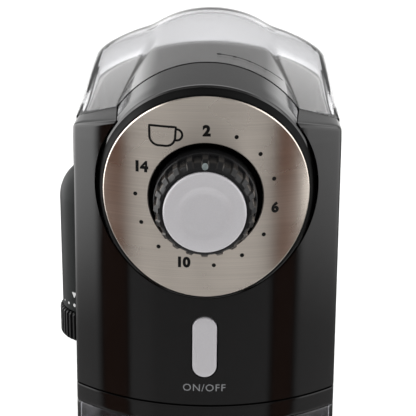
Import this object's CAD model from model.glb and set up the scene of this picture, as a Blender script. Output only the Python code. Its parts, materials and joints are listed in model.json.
import json
from math import atan2, cos, hypot, pi, radians, sin, sqrt, tan

import bmesh
import bpy
from mathutils import Matrix, Vector


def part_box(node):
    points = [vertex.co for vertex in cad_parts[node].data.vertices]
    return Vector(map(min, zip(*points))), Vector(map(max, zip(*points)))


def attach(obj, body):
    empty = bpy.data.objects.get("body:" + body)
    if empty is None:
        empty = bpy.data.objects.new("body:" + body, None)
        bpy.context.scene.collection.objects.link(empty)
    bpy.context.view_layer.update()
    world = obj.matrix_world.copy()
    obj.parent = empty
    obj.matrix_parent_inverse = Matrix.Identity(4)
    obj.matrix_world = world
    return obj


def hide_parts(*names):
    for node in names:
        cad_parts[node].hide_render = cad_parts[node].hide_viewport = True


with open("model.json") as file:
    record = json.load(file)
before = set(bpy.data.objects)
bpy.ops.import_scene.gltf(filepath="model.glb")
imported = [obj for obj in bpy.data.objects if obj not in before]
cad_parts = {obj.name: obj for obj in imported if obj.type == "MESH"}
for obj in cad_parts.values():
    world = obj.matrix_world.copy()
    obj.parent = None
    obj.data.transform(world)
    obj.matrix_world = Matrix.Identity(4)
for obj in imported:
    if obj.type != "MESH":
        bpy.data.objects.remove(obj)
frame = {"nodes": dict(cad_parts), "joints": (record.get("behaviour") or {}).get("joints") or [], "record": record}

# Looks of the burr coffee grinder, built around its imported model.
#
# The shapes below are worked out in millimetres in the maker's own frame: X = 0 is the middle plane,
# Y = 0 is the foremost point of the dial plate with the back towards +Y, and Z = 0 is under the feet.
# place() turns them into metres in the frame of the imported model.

TAU = 2 * pi
MM = 0.001
JOINTS = {joint["name"]: joint for joint in frame["joints"]}
AXIS_X = JOINTS["dial_turn"]["pos_m"][0]
FACE_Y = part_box("dial_plate")[0].y
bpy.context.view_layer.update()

# ---- dimensions, the same as the model's

GAP = 0.3
DIAL_Z = JOINTS["dial_turn"]["pos_m"][2] / MM
HALF_WIDTH = 49.2
DRAFT = 0.011
FRONT_RADIUS = 77.2
PLATE_PROUD = 5.4
CORNER_RADIUS = 4.0
BACK_CENTRE_Y = 95.5
WALL = 2.4
BEYOND = 70.0  # cutting blocks reach this far to each side
ABOVE = 300.0  # and this high
DECK_TOP = DIAL_Z + 27.9
DECK_CROWN_RADIUS = 170.0
DECK_EDGE_ROUND = 1.5
HEAD_BOTTOM = DIAL_Z - 83.7
LID_FRONT_Y = 35.0
COLUMN_FRONT_Y = 62.0
BASE_TOP = 20.0
BASE_BOTTOM = 3.5

DRUM_FRONT_RADIUS = 40.0
DRUM_BACK_RADIUS = 41.6
BEZEL_RADIUS = 39.4
BEZEL_DEPTH = 4.4
PLATE_RADIUS = 37.2
PLATE_THICKNESS = 0.9
PLATE_HOLE_RADIUS = 20.4
RECESS_FLOOR_Y = 8.0
BENT_DEPTH = 7.0  # the drum and the plate follow the bent face this far back
SCALE_RADIUS = 25.1
SCALE_STEP = radians(24.6)
SCALE_START = radians(0.5)
PRINT_HEIGHT = 0.05
CUP_PLACE = (-15.3, DIAL_Z + 22.6)
CUP_WIDTH = 9.4
CUP_HEIGHT = 7.0
CUP_TILT = radians(-1.5)

KNOB_RADIUS = 18.2
KNOB_LUGS = 20
KNOB_FRONT_Y = -12.2
KNOB_BACK_Y = 5.0
KNOB_SKIRT_FRONT_Y = -3.6
KNOB_SEAT_Y = KNOB_FRONT_Y + 1.5  # the cap's seat in the grip
KNOB_WEB_Y = KNOB_FRONT_Y + 4  # back of the wall behind that seat
KNOB_CORE_RADIUS = 14
SHAFT_BORE_RADIUS = 3.3
CAP_RADIUS = 14.4
CAP_FRONT_Y = -16.1
DISH_RADIUS = 9.4
POINTER_RADIUS = 1.05
POINTER_REACH = 16.0

BUTTON_Z = DIAL_Z - 59.8
BUTTON_WIDTH = 9.1
BUTTON_HEIGHT = 24.3
BUTTON_LABEL_Z = DIAL_Z - 76.5

POD_X = -44.1
POD_Y = 64.3
POD_RADIUS = 16.0
POD_WALL = 1.8
POD_DOME_Z = DIAL_Z - 20
WHEEL_RADIUS = 17.1
WHEEL_RIBS = 48
WHEEL_BOTTOM = DIAL_Z - 79.2
WHEEL_TOP = DIAL_Z - 66.9
GRIND_SHAFT_RADIUS = 2.5

LID_THICKNESS = 2.0
VAULT_FRONT_RADIUS = 41.8
VAULT_REAR_RADIUS = 46.0
VAULT_REAR_CENTRE = 0.8
SHOULDER_RISE = 14.0
SHOULDER_CROWN = 3.0
SHOULDER_BLEND = 1.2
SHOULDER_SWELL = 1.9
SHOULDER_RUN = 75.0
LID_SIDE_ROUND = 3.0
LID_REAR_ROUND = 24.0
LID_EDGE_HEIGHT = 1.4
LID_SEAT_DROP = 1.7
LID_DOT_X = 3.94
LID_DOT_STEP = 5.8
LID_PRINT_Y = 46.2
LID_LINE_END = (28.1, 48.4)
THROAT_RADIUS = 12.0
THROAT_BOTTOM = 188.6
THROAT_TOP = THROAT_BOTTOM + 2
HOPPER_WALL = 1.8

CONTAINER_BOTTOM = BASE_TOP + GAP
CONTAINER_TOP = DIAL_Z - 92
CONTAINER_BACK_Y = COLUMN_FRONT_Y - 2
CONTAINER_WALL = 2.2
CONTAINER_HOLE_RADIUS = 10.5
CONTAINER_SLIDE_GAP = 0.8
SPOUT_Y = 47.0
SPOUT_HALF_DEPTH = 9.0
CHUTE_HALF_WIDTH = 12.0

VENT_COUNT = 6
VENT_PITCH = 6.0
VENT_LOWEST = 60.0
VENT_HEIGHT = 2.6
VENT_HALF_WIDTH = 20.0
CORD_INLET_Z = 34.0
CORD_INLET_RADIUS = 6.0
INTERLOCK_Z = 44.0
INTERLOCK_RADIUS = 2.5


# ---- meshes

def place(point):
    """A point in the maker's millimetres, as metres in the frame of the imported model."""
    return (AXIS_X + point[0] * MM, FACE_Y + point[1] * MM, point[2] * MM)


def shown(name, data):
    """An object in the scene that holds a mesh, text, light or camera."""
    item = bpy.data.objects.new(name, data)
    bpy.context.scene.collection.objects.link(item)
    return item


def cleaned(mesh):
    """Merges points that coincide and turns the faces outwards."""
    work = bmesh.new()
    work.from_mesh(mesh)
    bmesh.ops.remove_doubles(work, verts=work.verts, dist=1e-7)
    bmesh.ops.recalc_face_normals(work, faces=work.faces)
    work.to_mesh(mesh)
    work.free()
    return mesh


def new_piece(name, points, faces):
    """A mesh object from points in millimetres."""
    mesh = bpy.data.meshes.new(name)
    mesh.from_pydata([place(point) for point in points], [], faces)
    return shown(name, cleaned(mesh))


def loft(name, rings, closed=False, capped=True):
    """Joins rings of points, all of one length, into a skin; the last ring meets the first if closed."""
    count = len(rings[0])
    points = [point for ring in rings for point in ring]
    faces = []
    for i in range(len(rings) if closed else len(rings) - 1):
        here = i * count
        there = ((i + 1) % len(rings)) * count
        for j in range(count):
            k = (j + 1) % count
            faces.append((here + j, here + k, there + k, there + j))
    if capped and not closed:
        last = (len(rings) - 1) * count
        faces.append(tuple(range(count)))
        faces.append(tuple(range(last, last + count)))
    return new_piece(name, points, faces)


def turned(name, profile, centre=(0, 0), along="z", closed=False, steps=96, bend=None):
    """A solid of revolution from (radius, level) points. Its centre is (x, y) or, along y, (x, z).
    bend(across, level) can move a ring's points along the axis."""
    rings = []
    for radius, level in profile:
        ring = []
        for i in range(steps):
            angle = TAU * i / steps
            across = centre[0] + radius * cos(angle)
            up = centre[1] + radius * sin(angle)
            at = bend(across, level) if bend else level
            ring.append((across, up, at) if along == "z" else (across, at, up))
        rings.append(ring)
    return loft(name, rings, closed, capped=False)


def rod(name, radius, low, high, centre, along="z", steps=96):
    """A plain cylinder, used only to cut with."""
    return turned(name, [(0, low), (radius, low), (radius, high), (0, high)], centre, along, steps=steps)


def prism(name, outline, low, high, along="z"):
    """Extrudes an outline of (x, y) upwards, of (x, z) along y or of (y, z) along x."""
    def at(point, level):
        u, v = point
        return {"z": (u, v, level), "y": (u, level, v), "x": (level, u, v)}[along]
    return loft(name, [[at(point, level) for point in outline] for level in (low, high)])


def block(name, low, high):
    """A box between two corners, used only to cut with."""
    outline = [(low[0], low[1]), (high[0], low[1]), (high[0], high[1]), (low[0], high[1])]
    return prism(name, outline, low[2], high[2])


def arc(centre_x, centre_y, radius, start, end, steps):
    """Points along an arc, ends included."""
    angles = [start + (end - start) * i / steps for i in range(steps + 1)]
    return [(centre_x + radius * cos(a), centre_y + radius * sin(a)) for a in angles]


def filleted(corners, steps=4):
    """Rounds the corners of a closed outline; each corner is (u, v) or (u, v, radius)."""
    rounded = []
    for i, corner in enumerate(corners):
        here = Vector(corner[:2])
        radius = corner[2] if len(corner) > 2 else 0
        if not radius:
            rounded.append((here.x, here.y))
            continue
        back = (Vector(corners[i - 1][:2]) - here).normalized()
        ahead = (Vector(corners[(i + 1) % len(corners)][:2]) - here).normalized()
        half = back.angle(ahead) / 2
        centre = here + (back + ahead).normalized() * radius / sin(half)
        start = here + back * radius / tan(half) - centre
        end = here + ahead * radius / tan(half) - centre
        first = atan2(start.y, start.x)
        sweep = (atan2(end.y, end.x) - first + pi) % TAU - pi
        rounded += arc(centre.x, centre.y, radius, first, first + sweep, steps)
    return rounded


def stadium(width, height, centre_z):
    """Outline (x, z) of an upright oblong with round ends."""
    radius = width / 2
    straight = height / 2 - radius
    return (arc(0, centre_z + straight, radius, 0, pi, 20)
            + arc(0, centre_z - straight, radius, pi, TAU, 20))


def ribbed_ring(ribs, samples, start, low, high):
    """Points (u, v) round a ring with ribs. Each sample is (share of a rib's pitch, share of its height)."""
    pitch = TAU / ribs
    points = []
    for i in range(ribs):
        for share, rise in samples:
            angle = start + (i + share) * pitch
            radius = low + (high - low) * rise
            points.append((radius * cos(angle), radius * sin(angle)))
    return points


def evaluated_mesh(item):
    """The mesh of an object as its modifiers or its text settings shape it."""
    bpy.context.view_layer.update()
    return bpy.data.meshes.new_from_object(item.evaluated_get(bpy.context.evaluated_depsgraph_get()))


def cut(piece, other):
    """Cuts other out of piece, and removes other."""
    modifier = piece.modifiers.new("cut", "BOOLEAN")
    modifier.operation = "DIFFERENCE"
    modifier.object = other
    modifier.solver = "MANIFOLD"
    mesh = evaluated_mesh(piece)
    piece.modifiers.clear()
    piece.data = mesh
    bpy.data.objects.remove(other)
    return piece


def joined(name, parts):
    """Makes one object of several."""
    work = bmesh.new()
    for part in parts:
        work.from_mesh(part.data)
        bpy.data.objects.remove(part)
    mesh = bpy.data.meshes.new(name)
    work.to_mesh(mesh)
    work.free()
    return shown(name, mesh)


def smooth(piece, crease=35):
    """Smooth shading, with edges sharper than crease degrees left sharp."""
    piece.data.shade_smooth()
    piece.data.set_sharp_from_angle(angle=radians(crease))
    return piece


# ---- the casing's shape

def half_width_at(z):
    return HALF_WIDTH + DRAFT * (DECK_TOP - z)


def plan_outline(z, inset):
    """The casing's plan outline at the height z, moved inwards by inset, anticlockwise."""
    side = half_width_at(z) - inset
    radius = FRONT_RADIUS - inset
    corner = max(CORNER_RADIUS - inset, 0.8)
    centre_y = PLATE_PROUD + FRONT_RADIUS
    corner_x = side - corner
    drop = sqrt((radius - corner) ** 2 - corner_x ** 2)
    corner_y = centre_y - drop
    lean = atan2(corner_x, drop)
    down = -pi / 2
    return (arc(-corner_x, corner_y, corner, -pi, down - lean, 8)
            + arc(0, centre_y, radius, down - lean, down + lean, 60)[1:-1]
            + arc(corner_x, corner_y, corner, down + lean, 0, 8)
            + arc(0, BACK_CENTRE_Y, side, 0, pi, 72))


def deck_height(x):
    return DECK_TOP - DECK_CROWN_RADIUS + sqrt(DECK_CROWN_RADIUS ** 2 - x ** 2)


def front_y(x):
    """Depth of the dial plate's face at x."""
    return FRONT_RADIUS - sqrt(FRONT_RADIUS ** 2 - x ** 2)


def on_level(outline, z):
    return [(x, y, z) for x, y in outline]


def on_deck(outline, drop):
    """Puts an outline on the crowned deck, moved down by drop."""
    return [(x, y, deck_height(x) - drop) for x, y in outline]


def level_ring(z, inset):
    return on_level(plan_outline(z, inset), z)


def deck_ring(inset, drop):
    return on_deck(plan_outline(DECK_TOP, inset), drop)


def levels_between(low, high, count):
    return [low + (high - low) * i / count for i in range(count + 1)]


def head_form(name, bottom, inset, edge, drop):
    """The casing's solid form up to the crowned deck, moved inwards by inset and down by drop."""
    rings = [level_ring(z, inset) for z in levels_between(bottom, DECK_TOP - 12, 10)]
    rings.append(deck_ring(inset, drop + edge))
    for i in range(1, 7):
        turn = pi / 2 * i / 6
        rings.append(deck_ring(inset + edge * (1 - cos(turn)), drop + edge * (1 - sin(turn))))
    rings += [deck_ring(inset + step, drop) for step in (4, 9, 15, 22, 29, 36) if inset + step < 40]
    return loft(name, rings)


def casing_block(name, low, high, inset, bottom_round=0.0, top_round=0.0):
    """The casing's drafted form between two heights, with its rims rounded."""
    rings = []
    quarter = [pi / 2 * i / 5 for i in range(6)]
    if bottom_round:
        rings += [level_ring(low + bottom_round * (1 - cos(turn)), inset + bottom_round * (1 - sin(turn)))
                  for turn in quarter[:-1]]
    rings += [level_ring(z, inset) for z in levels_between(low + bottom_round, high - top_round, 6)]
    if top_round:
        rings += [level_ring(high - top_round * (1 - sin(turn)), inset + top_round * (1 - cos(turn)))
                  for turn in quarter[1:]]
    return loft(name, rings)


# ---- casing pieces

def casing_front():
    """Glossy front of the head, with the openings for the drum and the button."""
    shell = head_form("front_shell", HEAD_BOTTOM, 0, DECK_EDGE_ROUND, 0)
    cut(shell, head_form("inside", HEAD_BOTTOM + WALL, WALL, 0.2, WALL))
    cut(shell, block("behind", (-BEYOND, LID_FRONT_Y - GAP, 100), (BEYOND, 200, ABOVE)))
    drum_hole = [(0, -30), (drum_radius(-30) + GAP, -30), (drum_radius(80) + GAP, 80), (0, 80)]
    cut(shell, turned("drum_hole", drum_hole, (0, DIAL_Z), "y", steps=180))
    button_hole = stadium(BUTTON_WIDTH + 1, BUTTON_HEIGHT + 1, BUTTON_Z)
    cut(shell, prism("button_hole", button_hole, -10, 20, "y"))
    return smooth(shell)


def vent_slot(index):
    """Cutter for one level cooling slot in the round back."""
    low = VENT_LOWEST + VENT_PITCH * index
    ends = [(-VENT_HALF_WIDTH, low), (VENT_HALF_WIDTH, low),
            (VENT_HALF_WIDTH, low + VENT_HEIGHT), (-VENT_HALF_WIDTH, low + VENT_HEIGHT)]
    rounding = 0.45 * VENT_HEIGHT
    return prism("vent", filleted([(x, z, rounding) for x, z in ends]), 120, 160, "y")


def casing_rear():
    """Back of the head and the column behind the container, in one shell."""
    shell = head_form("rear_shell", BASE_TOP + GAP, 0, 0.5, LID_SEAT_DROP)
    cut(shell, block("front", (-BEYOND, -20, 0), (BEYOND, LID_FRONT_Y, ABOVE)))
    cut(shell, block("container_room", (-BEYOND, -20, 0), (BEYOND, COLUMN_FRONT_Y, HEAD_BOTTOM)))
    cut(shell, casing_block("head_inside", HEAD_BOTTOM + WALL, DECK_TOP + 9, WALL))
    column_inside = casing_block("column_inside", 0, HEAD_BOTTOM + WALL + 1, WALL)
    cut(column_inside, block("front", (-BEYOND, -20, -10), (BEYOND, COLUMN_FRONT_Y + WALL, ABOVE)))
    cut(shell, column_inside)
    half_width = CHUTE_HALF_WIDTH + GAP
    spout_depth = SPOUT_HALF_DEPTH + GAP
    cut(shell, block("spout", (-half_width, SPOUT_Y - spout_depth, 110),
                     (half_width, SPOUT_Y + spout_depth, HEAD_BOTTOM + WALL + 1)))
    half_depth = POD_RADIUS - POD_WALL - 1
    cut(shell, block("pod_window", (-BEYOND, POD_Y - half_depth, WHEEL_TOP),
                     (POD_X + 2, POD_Y + half_depth, POD_DOME_Z + 4)))
    cut(shell, rod("wheel_room", WHEEL_RADIUS + 0.8, WHEEL_BOTTOM - GAP, WHEEL_TOP + GAP, (POD_X, POD_Y)))
    cut(shell, rod("cord_hole", CORD_INLET_RADIUS + GAP, 130, 160, (0, CORD_INLET_Z), "y", 40))
    cut(shell, rod("pin_hole", INTERLOCK_RADIUS + GAP, 55, 70, (0, INTERLOCK_Z), "y", 40))
    for index in range(VENT_COUNT):
        cut(shell, vent_slot(index))
    return smooth(shell)


def base():
    """Base under the container and the column."""
    shell = casing_block("base_visual", BASE_BOTTOM, BASE_TOP, 0, bottom_round=1.5, top_round=0.8)
    cut(shell, casing_block("inside", BASE_BOTTOM - 1, BASE_TOP - WALL, WALL))
    return smooth(shell)


def cord_inlet():
    """The cord's grommet in the back of the column, with two grooves."""
    back = BACK_CENTRE_Y + half_width_at(CORD_INLET_Z)
    flange = CORD_INLET_RADIUS + 1.5
    profile = filleted([
        (3, back - 6), (CORD_INLET_RADIUS, back - 6), (CORD_INLET_RADIUS, back + GAP),
        (flange, back + GAP, 0.3), (flange - 0.6, back + 2, 0.5), (5, back + 2, 0.2),
        (4.7, back + 1.4, 0.2), (4.2, back + 2, 0.2), (3, back + 2, 0.3),
    ])
    return smooth(turned("grommet", profile, (0, CORD_INLET_Z), "y", closed=True, steps=64))


# ---- dial

def bent(x, level):
    """Bends a ring of the drum or the plate to the cylinder of the dial's face."""
    return level + front_y(x) if level < BENT_DEPTH else level


def drum_radius(level):
    """Outer radius of the drum, which widens towards the back."""
    slope = (DRUM_BACK_RADIUS - DRUM_FRONT_RADIUS) / (LID_FRONT_Y - BEZEL_DEPTH)
    return DRUM_FRONT_RADIUS + slope * (level - BEZEL_DEPTH)


def drum():
    """Drum around the dial plate: a steep bezel, a bent face, and a recess for the knob."""
    back = LID_FRONT_Y - GAP
    floor = RECESS_FLOOR_Y
    bore = SHAFT_BORE_RADIUS
    edge = BEZEL_DEPTH + 0.5
    outer = [(drum_radius(level), level) for level in (back, 28, 21, 14, 6.4, edge + 0.25)]
    outer += [
        (drum_radius(edge) - 0.12, edge), (BEZEL_RADIUS, BEZEL_DEPTH),
        (BEZEL_RADIUS - 0.5, BEZEL_DEPTH - 0.7), (PLATE_RADIUS + 0.7, 0.75),
        (PLATE_RADIUS + 0.45, 0.45), (PLATE_RADIUS + 0.15, 0.4), (PLATE_RADIUS + 0.1, 1.0),
    ]
    pocket = [(radius, 1.2) for radius in (PLATE_RADIUS, 34, 30, 26, 23, PLATE_HOLE_RADIUS)]
    recess = [(PLATE_HOLE_RADIUS, 1.5), (PLATE_HOLE_RADIUS, floor - 0.8), (PLATE_HOLE_RADIUS - 0.8, floor),
              (bore, floor), (bore, floor + WALL), (PLATE_HOLE_RADIUS + 1.6, floor + WALL)]
    inner = [(drum_radius(level) - WALL, level) for level in (16, back)]
    inner.insert(0, (drum_radius(14) - WALL - 0.4, 14))
    body = turned("drum", outer + pocket + recess + inner, (0, DIAL_Z), "y", True, 180, bent)
    room = block("board_room", (-BEYOND, 26, 100), (BEYOND, 60, DIAL_Z + 20))
    return smooth(cut(body, room), 50)


def dull_bezel(piece, finish):
    """Gives the bezel between the plate and the drum's front edge a dull finish of its own."""
    piece.data.materials.append(finish)
    for face in piece.data.polygons:
        x = (face.center.x - AXIS_X) / MM
        y = (face.center.y - FACE_Y) / MM
        radius = hypot(x, face.center.z / MM - DIAL_Z)
        if PLATE_RADIUS < radius < BEZEL_RADIUS + 0.1 and y < front_y(x) + BEZEL_DEPTH + 0.3:
            face.material_index = 1


def plate():
    """Brushed steel plate, bent to the drum's face, with bright chamfered rims."""
    edge = 0.35
    radii = (PLATE_RADIUS - edge, 35, 32.5, 30, 27.5, 25, 22.7, PLATE_HOLE_RADIUS + edge)
    face = [(radius, 0) for radius in radii]
    back = [(radius, PLATE_THICKNESS) for radius in (PLATE_HOLE_RADIUS, 24, 28, 32, PLATE_RADIUS)]
    profile = ([(PLATE_RADIUS, edge)] + face + [(PLATE_HOLE_RADIUS, edge)] + back)
    return smooth(turned("plate", profile, (0, DIAL_Z), "y", True, 240, bent), 20)


def on_plate(points, lift):
    """Puts (x, z) points on the plate's face, raised by lift."""
    return [(x, front_y(x) - lift, z) for x, z in points]


def stroke(name, path, width, surface, closed=False):
    """A printed line of the given width along a path of (x, z) points."""
    count = len(path)
    left, right = [], []
    for i, (x, z) in enumerate(path):
        before = path[i - 1] if i or closed else path[i]
        after = path[(i + 1) % count] if i < count - 1 or closed else path[i]
        run = Vector((after[0] - before[0], after[1] - before[1])).normalized()
        side = Vector((-run.y, run.x)) * width / 2
        left.append((x + side.x, z + side.y))
        right.append((x - side.x, z - side.y))
    rings = []
    for i in range(count):
        corners = [left[i], right[i]]
        rings.append(surface(corners, PRINT_HEIGHT) + list(reversed(surface(corners, -PRINT_HEIGHT / 2))))
    return loft(name, rings, closed)


def finely(path, step, closed=False):
    """Adds points along a path so that none are further apart than step."""
    points = []
    for i in range(len(path) if closed else len(path) - 1):
        start = Vector(path[i])
        end = Vector(path[(i + 1) % len(path)])
        count = max(int((end - start).length / step), 1)
        points += [tuple(start.lerp(end, j / count)) for j in range(count)]
    return points if closed else points + [path[-1]]


def printed(name, outline, surface):
    """A printed patch with the given outline."""
    return loft(name, [surface(outline, PRINT_HEIGHT), surface(outline, -PRINT_HEIGHT / 2)])


def printed_disc(x, z, radius, surface):
    return printed("dot", arc(x, z, radius, 0, TAU, 24)[:-1], surface)


def lettering(text, height, x, z, surface, weight, spacing=1.0):
    """Printed characters of the given height, centred on x, z; weight thickens their strokes."""
    curve = bpy.data.curves.new("text", "FONT")
    curve.body = text
    curve.align_x = "CENTER"
    curve.align_y = "CENTER"
    curve.offset = weight
    curve.space_character = spacing
    curve.extrude = 0.1
    curve.resolution_u = 4
    source = shown("text", curve)
    mesh = evaluated_mesh(source)
    bpy.data.objects.remove(source)
    ups = [vertex.co.y for vertex in mesh.vertices]
    acrosses = [vertex.co.x for vertex in mesh.vertices]
    scale = height / (max(ups) - min(ups))
    middle = ((max(acrosses) + min(acrosses)) / 2, (max(ups) + min(ups)) / 2)
    for vertex in mesh.vertices:
        across = x + (vertex.co.x - middle[0]) * scale
        up = z + (vertex.co.y - middle[1]) * scale
        lift = PRINT_HEIGHT if vertex.co.z > 0 else -PRINT_HEIGHT / 2
        vertex.co = place(surface([(across, up)], lift)[0])
    return shown("text", cleaned(mesh))


def cup_icon():
    """A little cup, the sign for brewing one cup: a rounded bowl with a round handle."""
    centre_x, centre_z = CUP_PLACE
    half_width, half_height = CUP_WIDTH / 2, CUP_HEIGHT / 2
    foot = half_width - 0.3
    rounding = 3.3
    weight = 0.8
    bowl = filleted([(-half_width, half_height), (half_width, half_height),
                     (foot, -half_height, rounding), (-foot, -half_height, rounding)], 10)
    handle = arc(half_width + 0.3, 0.8, 2.0, radians(100), radians(-100), 18)

    def tilted(points):
        return [(centre_x + u * cos(CUP_TILT) - v * sin(CUP_TILT),
                 centre_z + u * sin(CUP_TILT) + v * cos(CUP_TILT)) for u, v in points]

    return [stroke("bowl", tilted(finely(bowl, 0.6, True)), weight, on_plate, True),
            stroke("handle", tilted(finely(handle, 0.6)), weight, on_plate)]


def dial_print():
    """The cup scale: 2, 6, 10 and 14 with dots between them, and the cup sign after the last number."""
    marks = []
    for step in range(13):
        angle = SCALE_START + step * SCALE_STEP
        x = SCALE_RADIUS * sin(angle)
        z = DIAL_Z + SCALE_RADIUS * cos(angle)
        if step % 4:
            marks.append(printed_disc(x, z, 0.75, on_plate))
        else:
            marks.append(lettering(str(2 + step), 4.2, x, z, on_plate, 0.06))
    return joined("dial_print", marks + cup_icon())


def knob_grip():
    """Ribbed grip of the knob: a smooth skirt, lugs in front of it, and a bevel on the lugs."""
    skirt = KNOB_RADIUS + 0.1
    root = KNOB_RADIUS - 1.1
    bevel_back = KNOB_FRONT_Y + 1.3
    face = CAP_RADIUS + 1.0
    face_y = KNOB_FRONT_Y - 1.7
    seat = CAP_RADIUS + GAP
    bore = SHAFT_BORE_RADIUS
    samples = [(-0.5, 0), (-0.27, 0), (-0.22, 0.5), (-0.17, 1), (0.17, 1), (0.22, 0.5), (0.27, 0)]
    ribbed = [
        (KNOB_SKIRT_FRONT_Y - 0.35, root, KNOB_RADIUS - 0.25),
        (bevel_back + 1.2, root - 0.1, KNOB_RADIUS - 0.35),
        (bevel_back + 0.2, root - 0.2, KNOB_RADIUS - 0.5),
        (bevel_back - 0.2, root - 0.4, KNOB_RADIUS - 0.8),
        (face_y + 0.35, face + 0.3, face + 0.7),
    ]
    behind = [
        (KNOB_BACK_Y, skirt), (KNOB_SKIRT_FRONT_Y, skirt), (KNOB_SKIRT_FRONT_Y - 0.3, KNOB_RADIUS - 0.2),
    ]
    ahead = [
        (face_y + 0.1, face), (face_y, face - 0.3), (face_y, seat), (KNOB_SEAT_Y, seat), (KNOB_SEAT_Y, bore),
        (KNOB_WEB_Y, bore), (KNOB_WEB_Y, KNOB_CORE_RADIUS), (KNOB_BACK_Y, KNOB_CORE_RADIUS),
    ]

    def plain(levels):
        return [(y, radius, radius) for y, radius in levels]

    rings = []
    for y, low, high in plain(behind) + ribbed + plain(ahead):
        outline = ribbed_ring(KNOB_LUGS, samples, pi / 2, low, high)
        rings.append([(x, y, DIAL_Z + z) for x, z in outline])
    return smooth(loft("grip", rings, closed=True), 32)


def knob_pointer():
    """Pale pointer dot with a domed face, in the grip's bevel."""
    front = KNOB_FRONT_Y - 1.9
    profile = [(0, front + 1.9), (POINTER_RADIUS, front + 1.9), (POINTER_RADIUS, front + 0.25),
               (POINTER_RADIUS - 0.12, front + 0.08), (POINTER_RADIUS - 0.4, front), (0, front - 0.03)]
    return smooth(turned("pointer", profile, (0, DIAL_Z + POINTER_REACH), "y", steps=32), 50)


def knob_cap():
    """Silver cap with a rounded rim and a shallow dish."""
    hollow = [(0, 1.5), (4, 1.46), (6.5, 1.32), (8.0, 0.98), (8.8, 0.6), (DISH_RADIUS, 0.16), (10.0, 0.0)]
    crown = [(11.5, 0.12), (12.8, 0.3)]
    dish = [(radius, CAP_FRONT_Y + depth) for radius, depth in hollow + crown]
    rim = arc(CAP_RADIUS - 1.1, CAP_FRONT_Y + 1.5, 1.1, -pi / 2, 0, 8)
    back = KNOB_SEAT_Y - GAP
    profile = dish + rim + [(CAP_RADIUS, back), (0, back)]
    return smooth(turned("cap", profile, (0, DIAL_Z), "y", steps=128), 50)


# ---- button

def power_button():
    """On/off button: an oblong with a pillowed face and a rounded rim."""
    front = PLATE_PROUD - 0.6
    pillow = [(inset, 0.02 * (3.4 - inset) - 0.1) for inset in (3.4, 2.4, 1.5)]
    rim = [(0.7, 0.0), (0.25, 0.12), (0.06, 0.35), (0.0, 0.8), (0.0, 8.0)]
    rings = []
    for inset, depth in pillow + rim:
        outline = stadium(BUTTON_WIDTH - 2 * inset, BUTTON_HEIGHT - 2 * inset, BUTTON_Z)
        rings.append([(x, front + depth, z) for x, z in outline])
    return smooth(loft("button", rings), 50)


def on_panel(points, lift):
    """Puts (x, z) points on the front panel, raised by lift."""
    return [(x, PLATE_PROUD + front_y(x) - lift, z) for x, z in points]


def button_print():
    text = lettering("ON/OFF", 2.9, 0, BUTTON_LABEL_Z, on_panel, 0.004, 1.13)
    text.name = "button_print"
    return text


# ---- grind adjustment

def pod_form(name, radius, bottom):
    """An upright bar with a round top, on the pod's axis."""
    dome = arc(0, POD_DOME_Z, radius, 0, pi / 2, 20)
    dome[-1] = (0, POD_DOME_Z + radius)
    straight = [(radius, z) for z in levels_between(bottom + 0.5, POD_DOME_Z, 6)[:-1]]
    return turned(name, [(0, bottom), (radius - 0.4, bottom)] + straight + dome, (POD_X, POD_Y))


def pod():
    """Pod on the left side: half a pipe with a domed top, open to the wheel below."""
    cover = pod_form("pod", POD_RADIUS, WHEEL_TOP + GAP)
    cut(cover, pod_form("inside", POD_RADIUS - POD_WALL, WHEEL_TOP - 5))
    cut(cover, casing_block("casing", BASE_TOP, DECK_TOP, -GAP))
    return smooth(cover)


def on_pod(points, lift):
    """Wraps (arc length, z) points round the pod."""
    radius = POD_RADIUS + lift
    wrapped = [(u / POD_RADIUS, z) for u, z in points]
    return [(POD_X + radius * cos(angle), POD_Y + radius * sin(angle), z) for angle, z in wrapped]


def pod_print():
    """Grind scale over the wheel: dots that grow from fine to coarse, and a mark that points at them."""
    marks = []
    for step, radius in enumerate((0.4, 0.55, 0.7, 0.85)):
        angle = radians(206 + 13 * step)
        marks.append(printed_disc(POD_RADIUS * angle, WHEEL_TOP + 3.4, radius, on_pod))
    middle = POD_RADIUS * radians(232)
    tip = [(middle - 1.3, WHEEL_TOP + 9), (middle + 1.3, WHEEL_TOP + 9), (middle, WHEEL_TOP + 6.6)]
    marks.append(printed("mark", tip, on_pod))
    return joined("pod_print", marks)


def grind_wheel():
    """Ribbed thumb wheel under the pod, with its ribs bevelled at both ends."""
    ribbed = [(-0.5, 0), (-0.3, 0), (-0.18, 1), (0.18, 1), (0.3, 0)]
    even = [(i / len(ribbed) - 0.5, 0) for i in range(len(ribbed))]
    rib_height = 0.9
    bore = GRIND_SHAFT_RADIUS + GAP
    bevels = [(0.0, 1.2), (0.3, 0.5), (0.9, 0.0)]
    levels = [(WHEEL_BOTTOM + up, inset) for up, inset in bevels]
    levels += [(WHEEL_TOP - down, inset) for down, inset in reversed(bevels)]
    rings = []
    for z, inset in levels:
        outer = WHEEL_RADIUS - inset
        outline = ribbed_ring(WHEEL_RIBS, ribbed, 0, outer - rib_height, outer)
        rings.append([(POD_X + x, POD_Y + y, z) for x, y in outline])
    for z in (WHEEL_TOP, WHEEL_BOTTOM):
        outline = ribbed_ring(WHEEL_RIBS, even, 0, bore, bore)
        rings.append([(POD_X + x, POD_Y + y, z) for x, y in outline])
    return smooth(loft("wheel", rings, closed=True), 25)


# ---- hopper and lid

def hopper_outline(inset, front):
    side = half_width_at(DECK_TOP) - inset
    corner = 5
    return (arc(-side + corner, front + corner, corner, pi, 1.5 * pi, 8)
            + levels_across(-side + corner, side - corner, front, 30)
            + arc(side - corner, front + corner, corner, 1.5 * pi, TAU, 8)
            + arc(0, BACK_CENTRE_Y, side, 0, pi, 60))


def levels_across(start, end, y, count):
    """Points along a straight front, ends left out."""
    return [(start + (end - start) * i / count, y) for i in range(1, count)]


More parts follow.
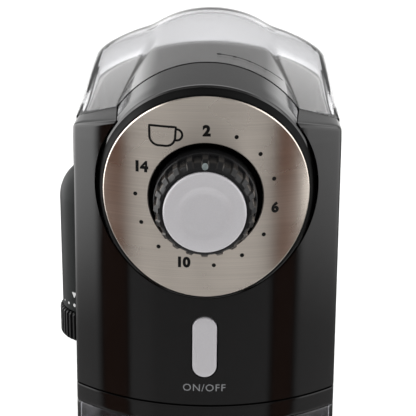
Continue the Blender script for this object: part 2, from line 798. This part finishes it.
def towards_throat(outline, radius, share):
    """Draws an outline in towards the throat: share 0 is the outline and 1 is a circle."""
    moved = []
    for x, y in outline:
        angle = atan2(y - BACK_CENTRE_Y, x)
        throat = (radius * cos(angle), BACK_CENTRE_Y + radius * sin(angle))
        moved.append((x + (throat[0] - x) * share, y + (throat[1] - y) * share))
    return moved


def hopper():
    """Bean hopper: an open bowl whose rim follows the deck, with a floor that slopes to the throat."""
    front = LID_FRONT_Y + 1
    outer_foot = DIAL_Z - 2
    inner_foot = outer_foot + HOPPER_WALL
    floor = THROAT_TOP + HOPPER_WALL
    shares = (0.06, 0.3, 0.6, 0.9)
    rim = hopper_outline(WALL + GAP + HOPPER_WALL / 2, front + HOPPER_WALL / 2)
    outside = hopper_outline(WALL + GAP, front)
    inside = hopper_outline(WALL + GAP + HOPPER_WALL, front + HOPPER_WALL)
    outer_throat = towards_throat(outside, THROAT_RADIUS + HOPPER_WALL, 1)
    inner_throat = towards_throat(inside, THROAT_RADIUS, 1)

    def slope(outline, radius, top, bottom, parts):
        fall = bottom - top
        return [on_level(towards_throat(outline, radius, part), top + fall * part) for part in parts]

    rings = [on_deck(rim, LID_SEAT_DROP), on_deck(outside, LID_SEAT_DROP + 0.5)]
    rings.append(on_level(outside, outer_foot))
    rings += slope(outside, THROAT_RADIUS + HOPPER_WALL, outer_foot, THROAT_TOP, shares)
    rings += [on_level(outer_throat, THROAT_TOP), on_level(outer_throat, THROAT_BOTTOM)]
    rings += [on_level(inner_throat, THROAT_BOTTOM), on_level(inner_throat, floor)]
    rings += slope(inside, THROAT_RADIUS, inner_foot, floor, reversed(shares))
    rings += [on_level(inside, inner_foot), on_deck(inside, LID_SEAT_DROP + 0.5)]
    return smooth(loft("hopper_bowl", rings, closed=True), 40)


def shoulder_share(y):
    return min(max((y - LID_FRONT_Y) / SHOULDER_RUN, 0), 1)


def shoulder_height(x, y):
    """Height of the lid's shoulders at x, y."""
    full = SHOULDER_RISE - SHOULDER_CROWN * (x / HALF_WIDTH) ** 2
    return deck_height(x) + full * (1 - (1 - shoulder_share(y)) ** SHOULDER_SWELL)


def vault_shape(y):
    """Radius of the lid's vault at y, and the height of its centre."""
    share = shoulder_share(y)
    radius = VAULT_FRONT_RADIUS + (VAULT_REAR_RADIUS - VAULT_FRONT_RADIUS) * share
    return radius, DIAL_Z + VAULT_REAR_CENTRE * share


def vault_height(x, y):
    radius, centre = vault_shape(y)
    return centre + sqrt(max(radius ** 2 - x ** 2, 0))


def lid_edge(x, y, side):
    """Distance from the lid's side or round back, and how far round the back that is."""
    behind = y - BACK_CENTRE_Y
    if behind <= 0:
        return side - abs(x), 0
    reach = hypot(x, behind)
    return side - reach, (behind / max(reach, 1)) ** 2


def lid_height(x, y, side):
    """Height of the lid's outer surface."""
    rim = deck_height(x) + GAP + LID_EDGE_HEIGHT - LID_SEAT_DROP
    shoulder = shoulder_height(x, y)
    vault = vault_height(x, y)
    nearness = max(SHOULDER_BLEND - abs(shoulder - vault), 0)
    top = max(shoulder, vault) + nearness ** 2 / (4 * SHOULDER_BLEND)
    distance, back = lid_edge(x, y, side)
    rounding = LID_SIDE_ROUND + (LID_REAR_ROUND - LID_SIDE_ROUND) * back
    inwards = 1 - min(max(distance / rounding, 0), 1)
    return rim + max(top - rim, 0) * sqrt(1 - inwards ** 2)


def vault_foot(y, side):
    """Where the vault meets the shoulder at y, as a share of the half width."""
    low, high = 0.0, side
    for _ in range(24):
        middle = (low + high) / 2
        if vault_height(middle, y) > shoulder_height(middle, y):
            low = middle
        else:
            high = middle
    return low / side


def lid_form(name, inset, drop, bottom_drop):
    """The lid's form as a solid between the deck and its top."""
    side = HALF_WIDTH - inset
    front = LID_FRONT_Y + inset
    rows = levels_between(front, BACK_CENTRE_Y, 28)
    rows += [BACK_CENTRE_Y + side * sin(0.99 * pi * i / 64) for i in range(1, 33)]
    rings = []
    for y in rows:
        half = sqrt(max(side ** 2 - max(y - BACK_CENTRE_Y, 0) ** 2, 0))
        foot = vault_foot(y, side)
        vault = [foot * sin(pi / 2 * i / 22) for i in range(23)]
        shoulder = [foot + (1 - foot) * (1 - cos(pi * i / 22)) / 2 for i in range(1, 23)]
        shares = vault + shoulder
        across = [-share for share in reversed(shares[1:])] + shares
        top = [(share * half, y, lid_height(share * half, y, side) - drop) for share in across]
        seat = GAP - LID_SEAT_DROP - bottom_drop
        bottom = [(share * half, y, deck_height(share * half) + seat) for share in reversed(across)]
        rings.append(top + bottom)
    return loft(name, rings)


def lid():
    """Clear lid: a vault that carries on from the drum, with a shoulder on each side."""
    shell = lid_form("lid", 0, 0, 0)
    cut(shell, lid_form("inside", LID_THICKNESS, LID_THICKNESS, 5))
    return smooth(shell, 28)


def on_lid(points, lift):
    """Puts (x, y) points on the top of the lid, raised by lift."""
    return [(x, y, lid_height(x, y, HALF_WIDTH) + lift) for x, y in points]


def lid_print():
    """Fill scale on the vault: four dots of falling size joined to a line that carries on from them."""
    marks = []
    for step in range(4):
        outline = arc(LID_DOT_X + LID_DOT_STEP * step, LID_PRINT_Y, 1.0 - 0.14 * step, 0, TAU, 24)[:-1]
        marks.append(loft("dot", [on_lid(outline, PRINT_HEIGHT), on_lid(outline, -0.03)]))
    start = (LID_DOT_X, LID_PRINT_Y)
    path = finely([start, (LID_DOT_X + 3 * LID_DOT_STEP, LID_PRINT_Y + 0.3), LID_LINE_END], 0.8)
    marks.append(stroke("line", path, 0.55, on_lid))
    return joined("lid_print", marks)


# ---- container

def container_block(name, low, high, inset, bottom_round=0.0, top_round=0.0):
    """The container's block between two heights, with a straight back."""
    body = casing_block(name, low, high, inset, bottom_round, top_round)
    return cut(body, block("behind", (-BEYOND, CONTAINER_BACK_Y - inset, -10), (BEYOND, 200, ABOVE)))


def container():
    """Smoky clear container with a rounded rim."""
    body = container_block("cup", CONTAINER_BOTTOM, CONTAINER_TOP, 0, 1.2, 0.5)
    floor = CONTAINER_BOTTOM + CONTAINER_WALL
    inside = container_block("inside", floor, CONTAINER_TOP + 5, CONTAINER_WALL, 1.0)
    return smooth(cut(body, inside))


def container_lid():
    """Black lid of the container, with a round hole under the chute."""
    bottom = CONTAINER_TOP + GAP
    top = HEAD_BOTTOM - CONTAINER_SLIDE_GAP
    cover = container_block("cup_lid", bottom, top, 0, 0.4, 0.15)
    cut(cover, container_block("inside", bottom - 5, top - 2.4, CONTAINER_WALL))
    return smooth(cut(cover, rod("hole", CONTAINER_HOLE_RADIUS, 100, 130, (0, SPOUT_Y))))


# ---- materials

def linear(red, green, blue):
    """A display colour, 0 to 255, as linear light."""
    def channel(value):
        share = value / 255
        return share / 12.92 if share <= 0.04045 else ((share + 0.055) / 1.055) ** 2.4
    return (channel(red), channel(green), channel(blue), 1.0)


def add_node(material, kind, **settings):
    node = material.node_tree.nodes.new(kind)
    for key, value in settings.items():
        setattr(node, key, value)
    return node


def stretched_noise(material, scale, stretch):
    """Noise that sticks to the piece, with its grain drawn out along one or more axes."""
    links = material.node_tree.links
    coordinates = add_node(material, "ShaderNodeTexCoord")
    mapping = add_node(material, "ShaderNodeMapping")
    mapping.inputs["Scale"].default_value = stretch
    noise = add_node(material, "ShaderNodeTexNoise")
    noise.inputs["Scale"].default_value = scale
    noise.inputs["Detail"].default_value = 4.0
    links.new(coordinates.outputs["Object"], mapping.inputs["Vector"])
    links.new(mapping.outputs["Vector"], noise.inputs["Vector"])
    return noise.outputs["Fac"]


def ranged(material, value, low, high):
    """Stretches the middle of a noise value to run from low to high."""
    spread = add_node(material, "ShaderNodeMapRange")
    spread.inputs["From Min"].default_value = 0.3
    spread.inputs["From Max"].default_value = 0.7
    spread.inputs["To Min"].default_value = low
    spread.inputs["To Max"].default_value = high
    material.node_tree.links.new(value, spread.inputs["Value"])
    return spread.outputs["Result"]


def finish_of(name, colour, roughness, metallic, grain, relief, stretch=(1, 1, 1), shade=0.12, wear=0.25,
              **sockets):
    """A finish with cloudy colour and roughness and a fine grain; relief is the grain's height in mm."""
    material = bpy.data.materials.new(name)
    material.use_nodes = True
    links = material.node_tree.links
    shader = material.node_tree.nodes["Principled BSDF"]
    shader.inputs["Metallic"].default_value = metallic
    for key, value in sockets.items():
        shader.inputs[key.replace("_", " ")].default_value = value

    cloud = stretched_noise(material, 45, (1, 1, 1))
    cloudy = ranged(material, cloud, roughness * (1 - wear), roughness * (1 + wear))
    links.new(cloudy, shader.inputs["Roughness"])

    if shade:
        speckle = stretched_noise(material, grain * 0.6, stretch)
        ramp = add_node(material, "ShaderNodeValToRGB")
        low, high = ramp.color_ramp.elements
        low.position = 0.3
        high.position = 0.7
        low.color = [part * (1 - shade) for part in colour[:3]] + [1]
        high.color = [min(part * (1 + shade), 1) for part in colour[:3]] + [1]
        links.new(speckle, ramp.inputs["Fac"])
        links.new(ramp.outputs["Color"], shader.inputs["Base Color"])
    else:
        shader.inputs["Base Color"].default_value = colour

    bump = add_node(material, "ShaderNodeBump")
    bump.inputs["Strength"].default_value = 1.0
    bump.inputs["Distance"].default_value = relief * MM
    links.new(stretched_noise(material, grain, stretch), bump.inputs["Height"])
    links.new(bump.outputs["Normal"], shader.inputs["Normal"])
    return material


def brushed_side_to_side(steel):
    """Turns the steel's highlights so that its level scratches draw them out up and down."""
    tangent = add_node(steel, "ShaderNodeTangent", direction_type="RADIAL", axis="Z")
    shader = steel.node_tree.nodes["Principled BSDF"]
    steel.node_tree.links.new(tangent.outputs["Tangent"], shader.inputs["Tangent"])


# Each finish: colour, roughness, metallic, grain, relief and what else it sets.
FINISHES = {
    "casing_black": (linear(13, 12, 12), 0.07, 0, 350, 0.0015, {"shade": 0.08}),
    "base_black": (linear(34, 34, 35), 0.5, 0, 2600, 0.02, {}),
    "foot_rubber": (linear(26, 26, 27), 0.85, 0, 1800, 0.05, {}),
    "screw_steel": (linear(190, 190, 194), 0.28, 1, 1500, 0.004, {}),
    "dial_steel": ((0.70, 0.63, 0.56, 1), 0.29, 1, 900, 0.004, {
        "stretch": (0.03, 0.03, 3.5), "shade": 0.07, "wear": 0.12, "Anisotropic": 0.85,
        "Anisotropic_Rotation": 0.25}),
    "chassis_steel": (linear(170, 172, 176), 0.36, 1, 700, 0.004, {}),
    "knob_black": (linear(20, 20, 21), 0.3, 0, 2200, 0.006, {"Specular_IOR_Level": 0.22}),
    "silver_paint": (linear(182, 180, 183), 0.36, 0, 3500, 0.004, {
        "shade": 0.03, "Coat_Weight": 0.35, "Coat_Roughness": 0.12}),
    "pointer_pale": (linear(112, 122, 122), 0.5, 0, 1500, 0.01, {}),
    "pod_grey": (linear(29, 31, 31), 0.36, 0, 1600, 0.006, {"Specular_IOR_Level": 0.09}),
    "bezel_black": (linear(7, 7, 7), 0.6, 0, 2600, 0.01, {"Specular_IOR_Level": 0.06}),
    "nylon": (linear(222, 216, 200), 0.45, 0, 900, 0.01, {"shade": 0.04}),
    "dark_parts": (linear(64, 64, 68), 0.45, 0, 1200, 0.02, {}),
    "board_green": (linear(40, 104, 58), 0.35, 0, 500, 0.02, {"shade": 0.3}),
    "copper": (linear(186, 108, 62), 0.35, 1, 900, 0.05, {"stretch": (1, 1, 6)}),
    "bearing_bronze": (linear(190, 150, 84), 0.35, 1, 2500, 0.02, {}),
    "hopper_grey": (linear(150, 148, 145), 0.4, 0, 1500, 0.01, {"shade": 0.04}),
    "clear_plastic": ((0.97, 0.97, 0.985, 1), 0.03, 0, 60, 0.004, {
        "shade": 0, "Transmission_Weight": 1, "IOR": 1.49}),
    "smoky_plastic": (linear(140, 140, 146), 0.04, 0, 60, 0.004, {
        "shade": 0.02, "Transmission_Weight": 1, "IOR": 1.5}),
    "black_print": (linear(12, 11, 11), 0.5, 0, 3000, 0.004, {"Specular_IOR_Level": 0.15}),
    "grey_print": (linear(118, 119, 121), 0.5, 0, 3000, 0.004, {"shade": 0.05}),
    "white_print": (linear(205, 205, 205), 0.5, 0, 3000, 0.004, {"shade": 0.05}),
    "lid_print": (linear(22, 22, 23), 0.6, 0, 3000, 0.004, {"shade": 0.05, "Specular_IOR_Level": 0.1}),
}


def make_finishes():
    """Every finish, by the name of its slot in the record or of what it is used for."""
    finishes = {name: finish_of(name, *settings, **more) for name, (*settings, more) in FINISHES.items()}
    brushed_side_to_side(finishes["dial_steel"])
    return finishes


# ---- putting the object together

def numbered(stem, count):
    return [f"{stem}_{number}" for number in range(1, count + 1)]


# The nodes that are shown as they are packed, by the finish that each of them gets.
NODE_SLOTS = {
    "base_black": ["bottom_cover", "motor_end_cap", "grind_chamber", "chute", "button_switch",
                   "interlock_switch"],
    "foot_rubber": numbered("foot", 4) + numbered("motor_post", 3),
    "screw_steel": numbered("base_screw", 4) + ["motor_can", "motor_shaft", "grind_shaft", "upper_burr",
                                                "lower_burr", "burr_screw"],
    "chassis_steel": ["chassis_plate"],
    "nylon": ["dial_shaft", "board_relay", "grind_pinion", "ring_gear", "upper_burr_holder", "burr_carrier",
              "cooling_fan", "interlock_pin"],
    "dark_parts": ["dial_potentiometer", "board_transformer", "magnet_left", "magnet_right"],
    "board_green": ["control_board"],
    "copper": ["motor_rotor", "commutator"],
    "bearing_bronze": ["lower_bearing", "upper_bearing"],
}
# What makes each visual piece, the node that it stands in for, and its finish.
STAND_INS = [
    (casing_front, "casing_front", "casing_black"),
    (casing_rear, "casing_rear", "casing_black"),
    (base, "base_shell", "base_black"),
    (cord_inlet, "cord_inlet", "foot_rubber"),
    (drum, "dial_drum", "casing_black"),
    (plate, "dial_plate", "dial_steel"),
    (knob_grip, "knob_grip", "knob_black"),
    (knob_cap, "knob_cap", "silver_paint"),
    (knob_pointer, "knob_pointer", "pointer_pale"),
    (power_button, "power_button", "silver_paint"),
    (pod, "pod_cover", "pod_grey"),
    (grind_wheel, "grind_wheel", "knob_black"),
    (hopper, "hopper", "hopper_grey"),
    (lid, "clear_lid", "clear_plastic"),
    (container, "container", "smoky_plastic"),
    (container_lid, "container_lid", "casing_black"),
]
# What makes each print, the body that it moves with, its finish, and its slot in the record.
PRINTS = [
    (dial_print, "housing", "black_print", "knob_black"),
    (button_print, "housing", "grey_print", "pointer_pale"),
    (pod_print, "housing", "white_print", "pointer_pale"),
    (lid_print, "bean_lid", "lid_print", "dark_parts"),
]


def body_of(node):
    """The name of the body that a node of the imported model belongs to."""
    bodies = frame["record"]["behaviour"]["bodies"]
    return next(body for body, nodes in bodies.items() if node in nodes)


def paint(piece, finish):
    piece.data.materials.clear()
    piece.data.materials.append(finish)


def stand_in(piece, node, slot, finishes):
    """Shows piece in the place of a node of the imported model."""
    paint(piece, finishes[slot])
    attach(piece, body_of(node))
    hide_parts(node)


def add_print(piece, body, finish):
    """Adds printed marks that move with a body."""
    paint(piece, finish)
    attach(piece, body)


def build_object(finishes):
    for make, node, slot in STAND_INS:
        piece = make()
        stand_in(piece, node, slot, finishes)
        if node == "dial_drum":
            dull_bezel(piece, finishes["bezel_black"])
    for make, body, finish, slot in PRINTS:
        add_print(make(), body, finishes[finish])
    for slot, nodes in NODE_SLOTS.items():
        for node in nodes:
            paint(frame["nodes"][node], finishes[slot])


# ---- studio

def add_floor():
    """A plain pale floor. The glossy casing mirrors the studio's own light instead of it."""
    mesh = bpy.data.meshes.new("floor")
    reach = 14.0
    corners = [(-reach, -reach, 0), (reach, -reach, 0), (reach, reach, 0), (-reach, reach, 0)]
    mesh.from_pydata(corners, [], [(0, 1, 2, 3)])
    floor = shown("floor", mesh)
    floor.visible_glossy = False
    paint(floor, finish_of("floor", (0.93, 0.93, 0.93, 1), 0.7, 0, 8, 0.5, shade=0,
                           Emission_Color=(1, 1, 1, 1), Emission_Strength=0.12))


def fill_ramp(ramp, stops):
    """Fills a colour ramp with grey stops of (position, value)."""
    elements = ramp.color_ramp.elements
    while len(elements) > 1:
        elements.remove(elements[-1])
    elements[0].position = stops[0][0]
    elements[0].color = [stops[0][1]] * 3 + [1]
    for position, value in stops[1:]:
        elements.new(position).color = [value] * 3 + [1]


# The studio's brightness as five soft lights, each a product of how bright it is by compass direction
# (degrees from the front, positive to the right) and by height above the horizon (degrees).
SURROUND_ROUND = [
    (-180, 0.15), (-110, 0.15), (-95, 0.26), (-71, 0.26), (-66, 0), (-49, 0), (-46, 0.3), (-36, 0.3),
    (-33, 0.27), (-30, 0.24), (0, 0.24), (37, 0.27), (41, 0), (54, 0), (58, 0.25), (95, 0.26),
    (110, 0.15), (180, 0.15),
]
SURROUND_UP = [
    (-90, 1.95), (-45, 1.9), (-33, 0.4), (-24, 0.36), (-12, 0.28), (-4, 0.9), (40, 0.82), (60, 0.7),
    (90, 0.7),
]
SURROUND_STRENGTH = 3.0
WINDOW_ROUND = [
    (-180, 0), (-145, 0), (-130, 1), (-71, 1), (-66, 0), (55, 0), (60, 0.6), (110, 0.6), (130, 0), (180, 0),
]
WINDOW_UP = [
    (-90, 0), (-24, 0.06), (-22, 0.22), (-20, 0.5), (-17.8, 0.75), (-15, 1), (25, 1), (45, 0), (90, 0),
]
WINDOW_STRENGTH = 2.7
CEILING_ROUND = [(-180, 1), (-95, 1), (-70, 0), (70, 0), (95, 1), (180, 1)]
CEILING_UP = [(-90, 0), (22, 0), (27, 1), (42, 1), (55, 0), (90, 0)]
CEILING_STRENGTH = 1.1
BACKDROP_ROUND = [(-180, 1), (-145, 1), (-125, 0), (125, 0), (145, 1), (180, 1)]
BACKDROP_UP = [(-90, 0), (-16, 0), (-11, 1), (5, 1), (11, 0), (90, 0)]
BACKDROP_STRENGTH = 0.8
# The two dark gaps hold a little warm light, which tints the steel plate's dark bands.
WARM_ROUND = [(-180, 0), (-68, 0), (-64, 1), (-51, 1), (-47, 0), (39, 0), (43, 1), (52, 1), (56, 0), (180, 0)]
WARM_UP = [(-90, 1), (10, 1), (30, 0), (90, 0)]
WARM_STRENGTH = 0.10
WARM_COLOUR = (1.0, 0.32, 0.10)


def make_studio():
    """White walls with two dark gaps between them, dim just under the horizon and bright further down."""
    world = bpy.data.worlds.new("studio")
    bpy.context.scene.world = world
    world.use_nodes = True
    links = world.node_tree.links
    coordinates = add_node(world, "ShaderNodeTexCoord")
    parts = add_node(world, "ShaderNodeSeparateXYZ")
    links.new(coordinates.outputs["Generated"], parts.inputs[0])

    def maths(operation, *inputs):
        node = add_node(world, "ShaderNodeMath", operation=operation)
        for socket, value in zip(node.inputs, inputs):
            if isinstance(value, (int, float)):
                socket.default_value = value
            else:
                links.new(value, socket)
        return node.outputs[0]

    turn = maths("ARCTAN2", parts.outputs["X"], maths("MULTIPLY", parts.outputs["Y"], -1.0))
    compass = maths("MULTIPLY_ADD", turn, 1 / TAU, 0.5)
    rise = maths("MULTIPLY_ADD", maths("ARCSINE", parts.outputs["Z"]), 1 / pi, 0.5)

    def soft_light(round_stops, up_stops, strength):
        ramps = []
        for value, stops, sweep in ((compass, round_stops, 360), (rise, up_stops, 180)):
            ramp = add_node(world, "ShaderNodeValToRGB")
            fill_ramp(ramp, [(degrees / sweep + 0.5, level) for degrees, level in stops])
            links.new(value, ramp.inputs["Fac"])
            ramps.append(ramp.outputs["Color"])
        return maths("MULTIPLY", maths("MULTIPLY", *ramps), strength)

    surround = soft_light(SURROUND_ROUND, SURROUND_UP, SURROUND_STRENGTH)
    window = soft_light(WINDOW_ROUND, WINDOW_UP, WINDOW_STRENGTH)
    ceiling = soft_light(CEILING_ROUND, CEILING_UP, CEILING_STRENGTH)
    backdrop = soft_light(BACKDROP_ROUND, BACKDROP_UP, BACKDROP_STRENGTH)
    warm = soft_light(WARM_ROUND, WARM_UP, WARM_STRENGTH)
    white = maths("ADD", maths("ADD", surround, window), maths("ADD", ceiling, backdrop))
    colour = add_node(world, "ShaderNodeCombineXYZ")
    for socket, part in zip(colour.inputs, WARM_COLOUR):
        links.new(maths("MULTIPLY_ADD", warm, part, white), socket)
    links.new(colour.outputs[0], world.node_tree.nodes["Background"].inputs["Color"])


OVERHEAD_PLACE = (0.0, 0.1, 1.7)
OVERHEAD_SIZE = 2.4
OVERHEAD_POWER = 14


def add_overhead():
    """A square soft light that looks straight down, which the glossy pieces don't mirror."""
    light = bpy.data.lights.new("overhead", "AREA")
    light.size = OVERHEAD_SIZE
    light.energy = OVERHEAD_POWER
    lamp = shown("overhead", light)
    lamp.location = OVERHEAD_PLACE
    lamp.visible_glossy = False


CAMERA_PLACE = (7.32, -426.87, DIAL_Z + 142.23)
CAMERA_TURN = radians(-0.86)
CAMERA_DOWN = radians(18.81)
CAMERA_ROLL = radians(0.51)
CAMERA_LENS = 110.36


def add_camera():
    """The camera, a little above the dial and looking slightly down on it."""
    along = cos(CAMERA_DOWN)
    ahead = Vector((sin(CAMERA_TURN) * along, cos(CAMERA_TURN) * along, -sin(CAMERA_DOWN)))
    level = ahead.cross(Vector((0, 0, 1))).normalized()
    upright = level.cross(ahead)
    right = level * cos(CAMERA_ROLL) + upright * sin(CAMERA_ROLL)
    up = upright * cos(CAMERA_ROLL) - level * sin(CAMERA_ROLL)
    data = bpy.data.cameras.new("camera")
    data.lens = CAMERA_LENS
    data.sensor_width = 36
    data.clip_start = 0.01
    data.clip_end = 100
    camera = shown("camera", data)
    turn = Matrix((right, up, -ahead)).transposed().to_4x4()
    camera.matrix_world = Matrix.Translation(place(CAMERA_PLACE)) @ turn
    bpy.context.scene.camera = camera


build_object(make_finishes())
add_floor()
make_studio()
add_overhead()
add_camera()
bpy.context.scene.view_settings.view_transform = "Standard"
